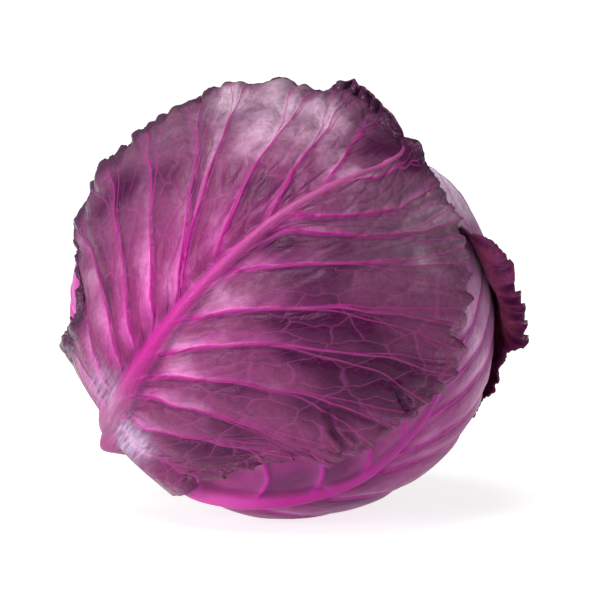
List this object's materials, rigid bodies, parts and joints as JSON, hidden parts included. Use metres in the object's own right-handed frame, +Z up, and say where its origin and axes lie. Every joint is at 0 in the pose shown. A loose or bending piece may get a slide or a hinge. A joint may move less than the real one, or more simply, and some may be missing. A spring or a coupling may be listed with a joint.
{
  "type": "red cabbage head",
  "caption": "Head of red cabbage cut at the stalk: ribbed, ruffled wrapper leaves wrapped round a tight heart, lying on a small flat spot.",
  "frame": {"origin": "on the surface that the head lies on, at the middle of its small flat spot", "axes": "+Z up as the head lies; the front leaf faces -Y; the crown points up and towards +X, and the cut stalk down and towards -X"},
  "size_m": [0.179, 0.1653, 0.1682],
  "materials": {
    "front_leaf": "dark aubergine leaf with magenta ribs and a thin waxy bloom",
    "flared_leaf": "pale mauve leaf with magenta veins and a dark crimson inner face",
    "under_leaf": "smooth mauve leaf with thick glossy magenta ribs",
    "left_leaf": "bright magenta leaf, satin and waxy",
    "heart_leaf": "tightly packed mauve leaves",
    "stalk": "pale fibrous cut stalk"
  },
  "bodies": {
    "root": {"front_wrapper_leaf": "front_leaf", "flared_wrapper_leaf": "flared_leaf", "under_wrapper_leaf": "under_leaf", "left_wrapper_leaf": "left_leaf", "heart": "heart_leaf", "cut_stalk": "stalk"}
  },
  "joints": []
}
